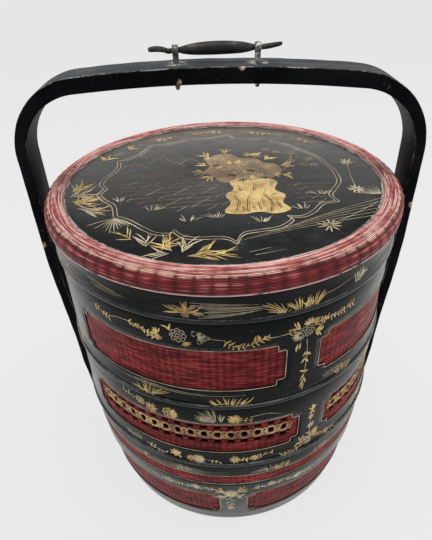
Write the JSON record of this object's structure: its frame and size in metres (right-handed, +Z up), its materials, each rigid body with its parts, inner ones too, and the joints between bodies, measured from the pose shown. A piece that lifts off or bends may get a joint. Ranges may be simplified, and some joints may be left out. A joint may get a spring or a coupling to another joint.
{
  "type": "tiered food basket",
  "caption": "Round lacquered bamboo food basket: stacked trays with woven panels, a lid with a woven rim, and a bent handle with a turning grip.",
  "frame": {"origin": "middle of the foot ring's underside, on the surface that the basket stands on", "axes": "+Z up; X across the handle's span; -Y is the front"},
  "size_m": [0.3714, 0.3388, 0.4793],
  "materials": {
    "black_lacquer": "black lacquer over gesso and bamboo, satin, worn at the edges",
    "red_weave": "woven split bamboo, red lacquer",
    "red_edging": "fine woven bamboo edging, worn red lacquer",
    "inner_lacquer": "dark red lacquer on bamboo and board",
    "black_bamboo": "bent bamboo, black lacquer with a soft sheen",
    "iron": "forged iron strip, worn",
    "old_bamboo": "aged bamboo peg"
  },
  "bodies": {
    "base": {"base_foot_ring": "black_lacquer", "base_floor": "inner_lacquer", "base_woven_wall": "red_weave", "base_lower_facing": "black_lacquer", "base_woven_band": "red_weave", "base_upper_facing": "black_lacquer", "base_lip": "inner_lacquer", "handle_strap": "black_bamboo", "left_leg_lower_peg": "old_bamboo", "left_leg_upper_peg": "old_bamboo", "right_leg_lower_peg": "old_bamboo", "right_leg_upper_peg": "old_bamboo", "left_eye_pin": "iron", "right_eye_pin": "iron"},
    "tier_2": {"tier_2_foot_hoop": "black_lacquer", "tier_2_floor": "inner_lacquer", "tier_2_woven_wall": "red_weave", "tier_2_facing": "black_lacquer", "tier_2_lip": "inner_lacquer"},
    "tier_1": {"tier_1_foot_hoop": "black_lacquer", "tier_1_floor": "inner_lacquer", "tier_1_woven_wall": "red_weave", "tier_1_facing": "black_lacquer", "tier_1_lip": "inner_lacquer"},
    "lid": {"lid_edge_hoop": "black_lacquer", "lid_side_band": "black_lacquer", "lid_frame": "inner_lacquer", "lid_board": "black_lacquer", "lid_rim_roll": "red_edging"},
    "grip": {"grip": "black_bamboo"}
  },
  "joints": [
    {"name": "tier_2_lift", "type": "slide", "parent": "base", "child": "tier_2", "axis": [0, 0, 1], "range_m": [0, 0.017]},
    {"name": "tier_1_lift", "type": "slide", "parent": "tier_2", "child": "tier_1", "axis": [0, 0, 1], "range_m": [0, 0.017]},
    {"name": "lid_lift", "type": "slide", "parent": "tier_1", "child": "lid", "axis": [0, 0, 1], "range_m": [0, 0.017]},
    {"name": "grip_turn", "type": "hinge", "parent": "base", "child": "grip", "pos_m": [-0.0017, 0, 0.4734], "axis": [1, 0, 0], "continuous": true}
  ]
}
